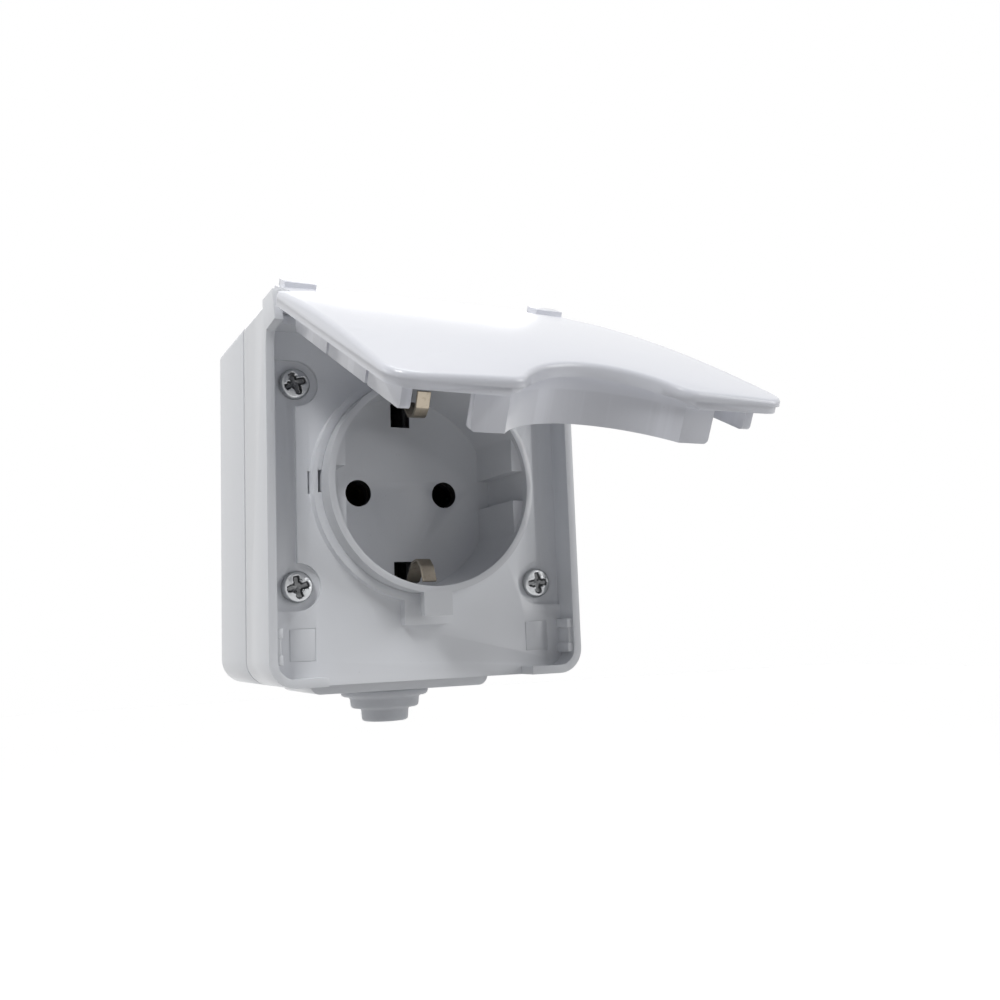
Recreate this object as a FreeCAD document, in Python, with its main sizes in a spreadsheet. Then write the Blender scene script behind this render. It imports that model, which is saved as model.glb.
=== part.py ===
"""Outdoor weatherproof socket: surface box, cover with a round well, hinged lid, inner contacts.

Frame: X to the right, Y into the wall, Z up, in millimetres. The origin is on the wall plane, on
the axis of the well. Depths are measured from the wall towards the front, so Y = -depth.
"""
import FreeCAD, Part
import math
import os
import re

import Sketcher
from FreeCAD import Placement, Rotation, Vector

os.makedirs("parts", exist_ok=True)
doc = FreeCAD.newDocument("weatherproof_socket")

# Sizes and clearances
SIZES = {
    "housing_width": 64.4, "housing_top": 34.0, "housing_drop": 37.9, "corner_radius": 5.0,
    "top_radius": 2.0, "back_radius": 1.9,
    "box_depth": 24.0, "box_wall": 2.0, "box_floor": 2.0,
    "gasket_thickness": 1.0, "gasket_inset": 0.8, "gasket_width": 1.2,
    "rim_depth": 42.4, "recess_depth": 5.1, "cover_wall": 1.6, "plate_thickness": 2.0,
    "pocket_radius": 4.5, "pocket_sink": 1.0, "screw_inset": 5.25, "screw_z": 19.4,
    "screw_shank_radius": 1.5, "screw_head_radius": 3.0, "screw_head_height": 1.6,
    "screw_tip_depth": 6.3, "cross_width": 0.9, "cross_span": 3.6, "cross_sink": 1.0,
    "hole_clearance": 0.4, "pilot_clearance": 0.1, "post_radius": 3.4,
    "lip_left_width": 11.0, "lip_right_width": 11.3, "ledge_gap": 0.4, "trough_gap": 0.7,
    "cheek_drop": 8.4, "cheek_step": 0.7, "cheek_step_drop": 5.8, "cheek_reach": 6.8,
    "cheek_low_drop": 5.4, "cheek_lean": 1.4, "cheek_rise": 0.6,
    "rib_height": 0.9, "rib_width": 1.6, "rib_upper_rise": 9.2, "rib_lower_rise": 4.3, "rib_setback": 1.0,
    "outline_inset": 3.4, "outline_span": 5.2, "outline_rise": 9.2, "outline_height": 6.3,
    "outline_line": 0.25, "outline_sink": 0.12,
    "stop_half_width": 5.0, "stop_height": 2.2, "stop_gap": 0.5, "tab_step": 1.6,
    "well_radius": 20.0, "collar_wall": 1.3, "collar_stand": 2.1, "well_depth": 18.0,
    "floor_thickness": 2.6, "flange_radius": 24.2, "flange_thickness": 1.8,
    "ring_wall": 1.55, "ring_height": 2.6, "ring_clearance": 0.05,
    "slit_width": 0.4, "slit_top": 2.5, "slit_bottom": 1.8, "slit_gap": 1.45, "notch_sink": 0.6,
    "pin_hole_x": 9.5, "pin_hole_radius": 2.75,
    "earth_slot_half": 2.1, "earth_slot_inner": 14.1,
    "guide_chord": 17.5, "guide_low": 3.0, "guide_high": 9.7, "guide_setback": 1.5,
    "tab_half_width": 2.9, "tab_thickness": 2.0,
    "strap_half_width": 1.45, "strap_thickness": 0.6, "strap_bend": 0.9,
    "strap_groove": 5.2, "strap_bridge_sink": 4.6, "strap_groove_half": 1.6, "strap_side": 19.0,
    "clip_waist_height": 5.0, "clip_waist_z": 18.3, "clip_ramp_height": 8.1, "clip_ramp_z": 14.9,
    "clip_arch_height": 10.7, "clip_arch_z": 14.5, "clip_leg_height": 12.5, "clip_leg_z": 16.0,
    "clip_end_height": 13.8, "clip_end_z": 18.9,
    "base_radius": 19.0, "base_depth": 13.0, "base_back_wall": 1.6,
    "sleeve_outer": 3.3, "sleeve_inner": 2.4, "sleeve_length": 7.6, "chamber_radius": 3.6,
    "sleeve_slot": 0.8, "tongue_half_width": 2.2, "tongue_thickness": 1.2, "tongue_reach": 7.1,
    "tongue_play": 0.3, "terminal_offset": 4.7, "terminal_drop": 13.4,
    "terminal_head_radius": 2.5, "terminal_head_height": 2.0, "terminal_shank_radius": 1.25,
    "terminal_length": 6.0, "terminal_slot": 0.7, "terminal_slot_sink": 0.8,
    "insert_screw_x": 7.0, "insert_screw_z": 11.6, "insert_shank_radius": 1.1,
    "insert_head_radius": 2.1, "insert_head_height": 1.7, "insert_tip_cover": 1.4,
    "fixing_inset": 8.2, "fixing_middle_z": 1.95, "fixing_span_z": 58.0,
    "fixing_half_width": 2.2, "fixing_length": 7.0,
    "pad_half_width": 19.5, "pad_height": 2.4, "pad_setback": 0.0, "pad_radius": 2.2, "pad_back": 2.0,
    "gland_depth": 13.0, "gland_neck": 7.0, "gland_lip": 1.6, "gland_flange_height": 1.4,
    "gland_wall": 1.2, "ring_a_radius": 9.5, "ring_a_height": 1.0, "ring_b_radius": 7.5,
    "ring_b_height": 1.9, "ring_c_radius": 5.1, "ring_c_height": 2.1, "ring_end_radius": 3.9,
    "ring_end_height": 1.8,
    "axis_ahead": 0.3, "axis_drop": 0.4, "lid_open_angle": 64.0,
    "pin_radius": 0.9, "pin_clearance": 0.05, "pin_seat": 1.0, "pin_end_gap": 0.4,
    "knuckle_radius": 2.2, "knuckle_length": 6.9, "bore_length": 6.2,
    "tab_pad_inset": 0.9, "tab_pad_front": 1.5, "tab_pad_back": 0.6, "tab_pad_low": 1.9,
    "tab_pad_high": 3.3,
    "lid_lift": 0.56, "lid_overhang": 0.5, "lid_overreach": 0.9, "lid_back": 2.2,
    "hinge_gap": 0.4, "lid_shoulder": 9.2, "lid_wall": 1.6, "lid_corner": 4.5,
    "lid_edge_radius": 0.85, "shoulder_radius": 1.2, "bay_corner": 3.0,
    "crown_edge_hinge": 1.9, "crown_edge_upper": 2.8, "crown_edge_middle": 3.4, "crown_edge_lower": 3.0,
    "crown_edge_far": 2.1,
    "crown_hinge": 2.3, "crown_upper": 3.9, "crown_middle": 5.2, "crown_lower": 4.9, "crown_far": 2.6,
    "skirt_gap": 1.3, "skirt_thickness": 1.5, "skirt_depth": 3.7, "skirt_start": 10.5,
    "skirt_chamfer": 2.4, "skirt_setback": 4.4, "skirt_slit": 1.2, "skirt_slit_a": 32.9,
    "skirt_slit_b": 53.4,
    "bay_offset": 7.8, "bay_radius": 17.4, "bay_wall": 1.5, "bay_overhang": 1.8,
    "plate_gap": 0.36, "bay_rise": 2.0, "bay_chord": 14.4, "bay_setback": 1.8,
    "catch_gap": 1.1, "catch_depth": 1.5, "catch_corner": 0.8, "skirt_corner": 0.8,
    "seal_overlap_in": 0.4, "seal_overlap_out": 1.1, "seal_gap": 0.3, "seal_height": 1.06,
    "seal_play": 0.5,
}

# Sizes worked out from those above
DERIVED = {
    "half_width": "housing_width / 2",
    "cover_back": "box_depth + gasket_thickness",
    "plate_depth": "rim_depth - recess_depth",
    "plate_back": "plate_depth - plate_thickness",
    "inner_half": "half_width - cover_wall",
    "inner_drop": "housing_drop - cover_wall",
    "axis_depth": "rim_depth + axis_ahead",
    "axis_z": "housing_top - axis_drop",
    "ledge_top": "axis_z - knuckle_radius - ledge_gap",
    "ledge_bottom": "ledge_top - cover_wall",
    "trough_depth": "axis_depth - knuckle_radius - trough_gap",
    "cheek_root_z": "axis_z - cheek_drop",
    "cheek_step_z": "axis_z - cheek_step_drop",
    "cheek_low_z": "axis_z - cheek_low_drop",
    "cheek_top_z": "axis_z + cheek_rise",
    "cheek_front": "rim_depth + cheek_reach",
    "pocket_depth": "plate_depth - pocket_sink",
    "screw_x": "inner_half - screw_inset",
    "screw_length": "pocket_depth - screw_tip_depth",
    "screw_hole_radius": "screw_shank_radius + hole_clearance",
    "pilot_radius": "screw_shank_radius + pilot_clearance",
    "lip_left": "half_width - lip_left_width",
    "lip_right": "half_width - lip_right_width",
    "rib_upper_z": "inner_drop - rib_upper_rise",
    "rib_lower_z": "inner_drop - rib_lower_rise",
    "rib_front": "rim_depth - rib_setback",
    "outline_far": "inner_half - outline_inset",
    "outline_near": "outline_far - outline_span",
    "outline_top": "inner_drop - outline_rise",
    "outline_bottom": "outline_top + outline_height",
    "collar_radius": "well_radius + collar_wall",
    "collar_depth": "rim_depth + collar_stand",
    "well_floor": "collar_depth - well_depth",
    "floor_back": "well_floor - floor_thickness",
    "ring_bore": "collar_radius + ring_clearance",
    "ring_radius": "ring_bore + ring_wall",
    "ring_depth": "plate_depth + ring_height",
    "slit_x": "ring_bore + slit_gap",
    "notch_far": "ring_bore + notch_sink",
    "guide_depth": "collar_depth - guide_setback",
    "strap_slot_end": "strap_side + strap_thickness + 0.2",
    "clip_waist_depth": "well_floor + clip_waist_height",
    "clip_ramp_depth": "well_floor + clip_ramp_height",
    "clip_arch_depth": "well_floor + clip_arch_height",
    "clip_leg_depth": "well_floor + clip_leg_height",
    "clip_end_depth": "well_floor + clip_end_height",
    "base_back": "floor_back - base_depth",
    "chamber_back": "base_back + base_back_wall",
    "tongue_end": "pin_hole_x + tongue_reach",
    "terminal_x": "pin_hole_x + terminal_offset",
    "insert_length": "well_floor - insert_tip_cover - base_back",
    "fixing_x": "half_width - fixing_inset",
    "fixing_top": "fixing_span_z / 2 - fixing_middle_z",
    "fixing_bottom": "fixing_span_z / 2 + fixing_middle_z",
    "fixing_run": "fixing_length / 2 - fixing_half_width",
    "pad_drop": "housing_drop + pad_height",
    "pad_front": "box_depth - pad_setback",
    "gland_inner_flange": "gland_neck + gland_lip",
    "ring_a_bottom": "pad_drop + ring_a_height",
    "ring_b_bottom": "ring_a_bottom + ring_b_height",
    "ring_c_bottom": "ring_b_bottom + ring_c_height",
    "ring_end_bottom": "ring_c_bottom + ring_end_height",
    "knuckle_bore": "pin_radius + pin_clearance",
    "lid_hinge_half": "inner_half - hinge_gap",
    "knuckle_outer": "lid_hinge_half",
    "knuckle_inner": "knuckle_outer - knuckle_length",
    "bore_end": "knuckle_outer - bore_length",
    "tab_pad_outer": "knuckle_outer - tab_pad_inset",
    "pin_outer": "inner_half + pin_seat",
    "pin_inner": "bore_end + pin_end_gap",
    "lid_half_width": "half_width + lid_overhang",
    "lid_far": "axis_z + housing_drop + lid_overreach",
    "rim_edge_in": "lid_half_width - lid_wall",
    "skirt_outer": "inner_half - skirt_gap",
    "skirt_end": "lid_far - skirt_setback",
    "bay_centre": "lid_far + bay_offset",
    "bay_front": "lid_far - bay_setback",
    "catch_outer": "lip_right - catch_gap",
    "catch_back": "bay_front - catch_depth",
    "bay_depth": "axis_depth + lid_lift - plate_depth - plate_gap",
    "stop_bottom": "bay_centre - bay_radius - bay_wall - axis_z - stop_gap",
    "stop_depth": "plate_depth + stop_height",
    "tab_bottom": "stop_bottom - tab_step",
    "seal_inner": "well_radius - seal_overlap_in",
    "seal_outer": "collar_radius + seal_overlap_out",
    "seal_tip": "collar_depth - axis_depth - lid_lift + seal_gap",
    "seal_seat": "seal_tip + seal_height",
}

WORD = re.compile(r"[a-z][a-z0-9_]*")


def with_sheet(formula):
    """Turns the names in a formula into references to the sheet of sizes."""
    return WORD.sub(r"dims.\g<0>", str(formula))


dims = doc.addObject("Spreadsheet::Sheet", "dims")
for row, (name, value) in enumerate(SIZES.items(), start=1):
    dims.set(f"A{row}", str(value))
    dims.setAlias(f"A{row}", name)
doc.recompute()
for row, (name, formula) in enumerate(DERIVED.items(), start=len(SIZES) + 1):
    dims.set(f"A{row}", "=" + formula)
    dims.setAlias(f"A{row}", name)
    doc.recompute()


def size(formula):
    """Number that a formula of the sheet gives now."""
    return float(dims.evalExpression(with_sheet(formula)))


def bind(item, prop, formula):
    item.setExpression(prop, with_sheet(formula))


# Solids from primitives, each tied to the sheet

def place(item, x, depth, z):
    """Ties the position of a primitive: width, depth from the wall, height."""
    bind(item, "Placement.Base.x", x)
    bind(item, "Placement.Base.y", f"-({depth})")
    bind(item, "Placement.Base.z", z)
    return item


def block(x0, x1, d0, d1, z0, z1):
    """Box between two widths, two depths and two heights."""
    item = doc.addObject("Part::Box", "block")
    bind(item, "Length", f"({x1}) - ({x0})")
    bind(item, "Width", f"({d1}) - ({d0})")
    bind(item, "Height", f"({z1}) - ({z0})")
    return place(item, x0, d1, z0)


def rod(radius, x, z, d0, d1):
    """Round bar along the depth, from d0 forward to d1."""
    item = doc.addObject("Part::Cylinder", "rod")
    bind(item, "Radius", radius)
    bind(item, "Height", f"({d1}) - ({d0})")
    item.Placement = Placement(Vector(), Rotation(Vector(1, 0, 0), 90))
    return place(item, x, d0, z)


def cross_bar(radius, depth, z, x0, x1):
    """Round bar along X."""
    item = doc.addObject("Part::Cylinder", "cross_bar")
    bind(item, "Radius", radius)
    bind(item, "Height", f"({x1}) - ({x0})")
    item.Placement = Placement(Vector(), Rotation(Vector(0, 1, 0), 90))
    return place(item, x0, depth, z)


def upright(radius, x, depth, z0, z1):
    """Round bar along Z."""
    item = doc.addObject("Part::Cylinder", "upright")
    bind(item, "Radius", radius)
    bind(item, "Height", f"({z1}) - ({z0})")
    return place(item, x, depth, z0)


def fuse(items, label="joined"):
    item = doc.addObject("Part::MultiFuse", label)
    item.Shapes = items
    item.Refine = True
    item.Label = label
    return item


def cut(base, tools, label="cut"):
    item = doc.addObject("Part::Cut", label)
    item.Base = base
    item.Tool = tools[0] if len(tools) == 1 else fuse(tools)
    item.Refine = True
    item.Label = label
    return item


def common(base, tool, label="shared"):
    item = doc.addObject("Part::Common", label)
    item.Base = base
    item.Tool = tool
    item.Refine = True
    return item


def rounded_slab(half, low, high, low_radius, high_radius, d0, d1):
    """Slab with two lower corners of one radius and two upper corners of another."""
    parts = [
        block(f"-({half})", half, d0, d1, f"-({low}) + {low_radius}", f"{high} - ({high_radius})"),
        block(f"-({half}) + {low_radius}", f"{half} - ({low_radius})", d0, d1, f"-({low})", "0"),
        block(f"-({half}) + {high_radius}", f"{half} - ({high_radius})", d0, d1, "0", high),
    ]
    for side in ("-", ""):
        parts.append(rod(low_radius, f"{side}({half} - ({low_radius}))", f"-({low}) + {low_radius}", d0, d1))
        parts.append(rod(high_radius, f"{side}({half} - ({high_radius}))", f"{high} - ({high_radius})", d0, d1))
    return fuse(parts)


# Bodies from sketches

def new_sketch(body, role, offset):
    """Sketch on one of the body's own planes, moved along its normal."""
    sketch = body.newObject("Sketcher::SketchObject", "outline")
    plane = next(f for f in body.Origin.OriginFeatures if f.Role == role)
    sketch.AttachmentSupport = [(plane, "")]
    sketch.MapMode = "FlatFace"
    bind(sketch, "AttachmentOffset.Base.z", offset)
    return sketch


def outline(sketch, points):
    """Closed polygon whose corners are tied to pairs of formulas."""
    spots = [Vector(size(a), size(b), 0) for a, b in points]
    count = len(points)
    start = sketch.GeometryCount
    for i, spot in enumerate(spots):
        sketch.addGeometry(Part.LineSegment(spot, spots[(i + 1) % count]), False)
    for i in range(count):
        sketch.addConstraint(Sketcher.Constraint("Coincident", start + i, 2, start + (i + 1) % count, 1))
    for i, (a, b) in enumerate(points):
        across = sketch.addConstraint(Sketcher.Constraint("DistanceX", -1, 1, start + i, 1, size(a)))
        bind(sketch, f"Constraints[{across}]", a)
        up = sketch.addConstraint(Sketcher.Constraint("DistanceY", -1, 1, start + i, 1, size(b)))
        bind(sketch, f"Constraints[{up}]", b)


def turned(label, points, x, depth, z, towards):
    """Solid of revolution from (radius, height) pairs, its axis set towards the front or down."""
    body = doc.addObject("PartDesign::Body", label)
    body.Label = label
    sketch = new_sketch(body, "XZ_Plane", "0")
    outline(sketch, points)
    spin = body.newObject("PartDesign::Revolution", "turn")
    spin.Profile = sketch
    spin.ReferenceAxis = (sketch, ["V_Axis"])
    spin.Angle = 360
    doc.recompute()
    body.Tip = spin
    turns = {
        "front_from_back": Rotation(Vector(1, 0, 0), 90),
        "back_from_front": Rotation(Vector(1, 0, 0), -90),
        "up": Rotation(), "right": Rotation(Vector(0, 1, 0), 90), "left": Rotation(Vector(0, 1, 0), -90),
    }
    body.Placement = Placement(Vector(), turns[towards])
    place(body, x, depth, z)
    return body


def side_prism(points, x0, x1):
    """Prism along X from (depth, height) pairs."""
    body = doc.addObject("PartDesign::Body", "prism")
    sketch = new_sketch(body, "YZ_Plane", x0)
    outline(sketch, [(f"-({depth})", z) for depth, z in points])
    pad = body.newObject("PartDesign::Pad", "pad")
    pad.Profile = sketch
    bind(pad, "Length", f"({x1}) - ({x0})")
    doc.recompute()
    body.Tip = pad
    return body


# Front cover

def make_cover():
    shell = cut(
        rounded_slab("half_width", "housing_drop", "housing_top", "corner_radius", "top_radius",
                     "cover_back", "rim_depth"),
        [
            rounded_slab("inner_half", "inner_drop", "housing_top - cover_wall",
                         "corner_radius - cover_wall", "top_radius", "cover_back - 1", "plate_back"),
            rounded_slab("inner_half", "inner_drop", "ledge_bottom", "corner_radius - cover_wall", "0.3",
                         "plate_depth", "rim_depth + 1"),
            block("-inner_half", "inner_half", "trough_depth", "rim_depth + 1", "ledge_top", "housing_top + 1"),
            block("-lip_left", "lip_right", "plate_depth", "rim_depth + 1", "-housing_drop - 1", "-inner_drop + 0.01"),
        ],
    )
    cheek = [
        ("rim_depth - 2", "cheek_root_z"), ("rim_depth", "cheek_root_z"),
        ("rim_depth + cheek_step", "cheek_step_z"), ("cheek_front", "cheek_low_z"),
        ("cheek_front - cheek_lean", "cheek_top_z"), ("rim_depth - 2", "cheek_top_z"),
    ]
    added = [shell]
    for x0, x1 in (("-half_width", "-inner_half"), ("inner_half", "half_width")):
        added.append(side_prism(cheek, x0, x1))
    added.append(rod("ring_radius", "0", "0", "plate_back", "ring_depth"))
    added.append(block("-stop_half_width", "stop_half_width", "plate_back", "stop_depth", "-stop_bottom", "-ring_bore"))
    for sx in ("-", ""):
        for sz in ("-", ""):
            added.append(rod("post_radius", f"{sx}screw_x", f"{sz}screw_z", "cover_back", "plate_back"))
        for low in ("rib_upper_z", "rib_lower_z"):
            x0, x1 = ("-inner_half", "-inner_half + rib_height") if sx else ("inner_half - rib_height", "inner_half")
            added.append(block(x0, x1, "plate_depth", "rib_front", f"-{low} - rib_width", f"-{low}"))
    whole = fuse(added)
    removed = [rod("ring_bore", "0", "0", "plate_back - 1", "ring_depth + 1")]
    for sx in ("-", ""):
        far, near = ("-inner_half", "-screw_x") if sx else ("screw_x", "inner_half")
        for sz in ("-", ""):
            middle = f"{sz}screw_z"
            removed.append(rod("pocket_radius", f"{sx}screw_x", middle, "pocket_depth", "plate_depth + 1"))
            removed.append(block(far, near, "pocket_depth", "plate_depth + 0.5",
                                 f"{middle} - pocket_radius", f"{middle} + pocket_radius"))
            removed.append(rod("screw_hole_radius", f"{sx}screw_x", middle, "cover_back - 1", "plate_depth"))
        removed.append(block(far, near, "pocket_depth", "plate_depth + 0.4", "-screw_z", "screw_z"))
        left, right = ("-outline_far", "-outline_near") if sx else ("outline_near", "outline_far")
        removed.append(cut(
            block(left, right, "plate_depth - outline_sink", "plate_depth + 0.3", "-outline_bottom", "-outline_top"),
            [block(f"{left} + outline_line", f"{right} - outline_line", "plate_depth - 1", "plate_depth + 1",
                   "-outline_bottom + outline_line", "-outline_top - outline_line")],
        ))
        x0, x1 = ("-notch_far", "-ring_bore + 0.5") if sx else ("ring_bore - 0.5", "notch_far")
        removed.append(block(x0, x1, "plate_depth - 1", "ring_depth + 1", "-slit_bottom", "slit_top"))
        x0, x1 = ("-slit_x - slit_width", "-slit_x") if sx else ("slit_x", "slit_x + slit_width")
        removed.append(block(x0, x1, "plate_depth - 1", "ring_depth + 1", "-slit_bottom", "slit_top"))
        x0, x1 = ("-pin_outer", "-inner_half + 1") if sx else ("inner_half - 1", "pin_outer")
        removed.append(cross_bar("pin_radius", "axis_depth", "axis_z", x0, x1))
    return cut(whole, removed, "front_cover")


# Round well with its collar

def make_cup():
    outer = fuse([
        rod("collar_radius", "0", "0", "floor_back", "collar_depth"),
        rod("flange_radius", "0", "0", "plate_back - flange_thickness", "plate_back"),
        block("-tab_half_width", "tab_half_width", "collar_depth - tab_thickness", "collar_depth",
              "-tab_bottom", "-well_radius - 0.5"),
    ])
    well = rod("well_radius", "0", "0", "well_floor", "collar_depth + 1")
    guides = []
    for x0, x1 in (("-well_radius - 0.5", "-guide_chord"), ("guide_chord", "well_radius + 0.5")):
        for z0, z1 in (("-guide_high", "-guide_low"), ("guide_low", "guide_high")):
            guides.append(block(x0, x1, "well_floor", "guide_depth", z0, z1))
    hollow = cut(well, guides)
    removed = [hollow]
    for side in ("-", ""):
        removed.append(rod("pin_hole_radius", f"{side}pin_hole_x", "0", "floor_back - 1", "well_floor + 1"))
        z0, z1 = (("-strap_slot_end", "-earth_slot_inner") if side else ("earth_slot_inner", "strap_slot_end"))
        removed.append(block("-earth_slot_half", "earth_slot_half", "floor_back - 1", "well_floor + 0.5", z0, z1))
        removed.append(rod("insert_shank_radius + pilot_clearance", f"{side}insert_screw_x",
                           f"-({side}insert_screw_z)", "floor_back - 1", "well_floor - 1"))
    return cut(outer, removed, "socket_cup")



# Rear shell

def make_box():
    """Rear shell: rounded back edge, screw posts, slotted wall holes, cable pad and its hole."""
    slab = rounded_slab("half_width", "housing_drop", "housing_top", "corner_radius", "top_radius", "0", "box_depth")
    doc.recompute()
    rounding = doc.addObject("Part::Fillet", "back_rounding")
    rounding.Base = slab
    radius = size("back_radius")
    rounding.Edges = [(i, radius, radius) for i, edge in enumerate(slab.Shape.Edges, start=1)
                      if edge.BoundBox.YMin > -1e-6]
    pad = fuse([
        block("-pad_half_width", "pad_half_width", "pad_back", "pad_front", "-pad_drop + pad_radius", "-inner_drop"),
        block("-pad_half_width + pad_radius", "pad_half_width - pad_radius", "pad_back", "pad_front",
              "-pad_drop", "-inner_drop"),
        rod("pad_radius", "-pad_half_width + pad_radius", "-pad_drop + pad_radius", "pad_back", "pad_front"),
        rod("pad_radius", "pad_half_width - pad_radius", "-pad_drop + pad_radius", "pad_back", "pad_front"),
    ])
    shell = cut(
        fuse([rounding, pad]),
        [rounded_slab("half_width - box_wall", "housing_drop - box_wall", "housing_top - box_wall",
                      "corner_radius - box_wall", "top_radius", "box_floor", "box_depth + 1")],
    )
    added = [shell]
    removed = [upright("gland_neck", "0", "gland_depth", "-pad_drop - 1", "-housing_drop + box_wall + 1")]
    for sx in ("-", ""):
        for sz in ("-", ""):
            added.append(rod("post_radius", f"{sx}screw_x", f"{sz}screw_z", "box_floor - 0.5", "box_depth + gasket_thickness"))
            removed.append(rod("pilot_radius", f"{sx}screw_x", f"{sz}screw_z",
                               "pocket_depth - screw_length - 1", "box_depth + gasket_thickness + 1"))
        for z in ("fixing_top", "-fixing_bottom"):
            removed.append(block(f"{sx}fixing_x - fixing_run", f"{sx}fixing_x + fixing_run", "-1", "box_floor + 1",
                                 f"{z} - fixing_half_width", f"{z} + fixing_half_width"))
            for end in ("-", "+"):
                removed.append(rod("fixing_half_width", f"{sx}fixing_x {end} fixing_run", z, "-1", "box_floor + 1"))
    return cut(fuse(added), removed, "back_box")


def make_gasket():
    """Square ring in the seam, set in from the outside so the seam shows as a groove."""
    def inset(distance, d0, d1):
        return rounded_slab(f"half_width - ({distance})", f"housing_drop - ({distance})", f"housing_top - ({distance})",
                            f"corner_radius - ({distance})", "top_radius * 0.4", d0, d1)
    return cut(inset("gasket_inset", "box_depth", "cover_back"),
               [inset("gasket_inset + gasket_width", "box_depth - 1", "cover_back + 1")], "box_gasket")


def make_grommet():
    """Stepped membrane gland: a neck in the hole, a flange inside and closed steps outside."""
    inside = "-housing_drop + box_wall"
    points = [
        ("0", "-ring_end_bottom"), ("ring_end_radius", "-ring_end_bottom"),
        ("ring_end_radius", "-ring_c_bottom"), ("ring_c_radius", "-ring_c_bottom"),
        ("ring_c_radius", "-ring_b_bottom"), ("ring_b_radius", "-ring_b_bottom"),
        ("ring_b_radius", "-ring_a_bottom"), ("ring_a_radius", "-ring_a_bottom"),
        ("ring_a_radius", "-pad_drop"), ("gland_neck", "-pad_drop"), ("gland_neck", inside),
        ("gland_inner_flange", inside), ("gland_inner_flange", f"{inside} + gland_flange_height"),
        ("gland_neck - gland_wall", f"{inside} + gland_flange_height"),
        ("gland_neck - gland_wall", "-pad_drop"),
        ("ring_end_radius - gland_wall", "-ring_c_bottom + gland_wall"),
        ("ring_end_radius - gland_wall", "-ring_end_bottom + gland_wall"),
        ("0", "-ring_end_bottom + gland_wall"),
    ]
    return turned("cable_grommet", points, "0", "gland_depth", "0", "up")


def make_pin(side, label):
    """Steel hinge pin with small chamfers, lying along X."""
    points = [
        ("0", "pin_inner"), ("pin_radius * 0.8", "pin_inner"), ("pin_radius", "pin_inner + pin_radius * 0.2"),
        ("pin_radius", "pin_outer"), ("0", "pin_outer"),
    ]
    return turned(label, points, "0", "axis_depth", "axis_z", "left" if side else "right")


# Thin bent strips and other closed outlines with rounded corners

def rounded_wire(points, radii):
    """Closed wire through the points, each corner rounded by its own radius."""
    count = len(points)
    ends = []
    for i, corner in enumerate(points):
        before = (points[i - 1] - corner).normalize()
        after = (points[(i + 1) % count] - corner).normalize()
        half_angle = before.getAngle(after) / 2
        radius = radii[i]
        if radius < 1e-6 or half_angle > math.pi / 2 - 1e-4:
            ends.append((corner, corner, None))
            continue
        reach = radius / math.tan(half_angle)
        inward = (before + after).normalize()
        middle = corner + inward * (radius / math.sin(half_angle) - radius)
        ends.append((corner + before * reach, corner + after * reach, middle))
    edges = []
    for i, (first, last, middle) in enumerate(ends):
        if middle is not None:
            edges.append(Part.Arc(first, middle, last).toShape())
        following = ends[(i + 1) % count][0]
        if last.distanceToPoint(following) > 1e-6:
            edges.append(Part.LineSegment(last, following).toShape())
    return Part.Wire(edges)


def band(path, thickness, bend):
    """Closed wire round an open path of points in the YZ plane, of even thickness."""
    half = thickness / 2
    sides = ([], [])
    radii = ([], [])
    for i, point in enumerate(path):
        ahead = (path[min(i + 1, len(path) - 1)] - path[i if i + 1 < len(path) else i - 1]).normalize()
        behind = (path[i] - path[i - 1]).normalize() if i else ahead
        normal = Vector(0, -(ahead + behind).z, (ahead + behind).y).normalize()
        reach = half / math.cos(ahead.getAngle(behind) / 2)
        turn = behind.y * ahead.z - behind.z * ahead.y
        inner_end = i in (0, len(path) - 1)
        for side, sign in ((0, 1), (1, -1)):
            sides[side].append(point + normal * (sign * reach))
            radii[side].append(0 if inner_end else bend - half if turn * sign > 0 else bend + half)
    return rounded_wire(sides[0] + sides[1][::-1], radii[0] + radii[1][::-1])


def make_strap():
    """One strip: a bridge behind the floor, and a sprung clip forward through each slot."""
    bridge = size("floor_back - strap_bridge_sink - strap_thickness / 2")
    clip = [
        (bridge, size("strap_side")), (size("well_floor"), size("strap_side")),
        (size("clip_waist_depth"), size("clip_waist_z")), (size("clip_ramp_depth"), size("clip_ramp_z")),
        (size("clip_arch_depth"), size("clip_arch_z")), (size("clip_leg_depth"), size("clip_leg_z")),
        (size("clip_end_depth"), size("clip_end_z")),
    ]
    path = [Vector(0, -depth, z) for depth, z in clip[::-1]] + [Vector(0, -depth, -z) for depth, z in clip]
    face = Part.Face(band(path, size("strap_thickness"), size("strap_bend")))
    solid = face.extrude(Vector(2 * size("strap_half_width"), 0, 0))
    item = doc.addObject("Part::Feature", "earth_strap")
    item.Label = "earth_strap"
    item.Shape = solid.removeSplitter()
    item.Placement = Placement(Vector(), Rotation())
    bind(item, "Placement.Base.x", "-strap_half_width")
    return item


# Rear moulding of the insert, its contacts and screws

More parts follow.
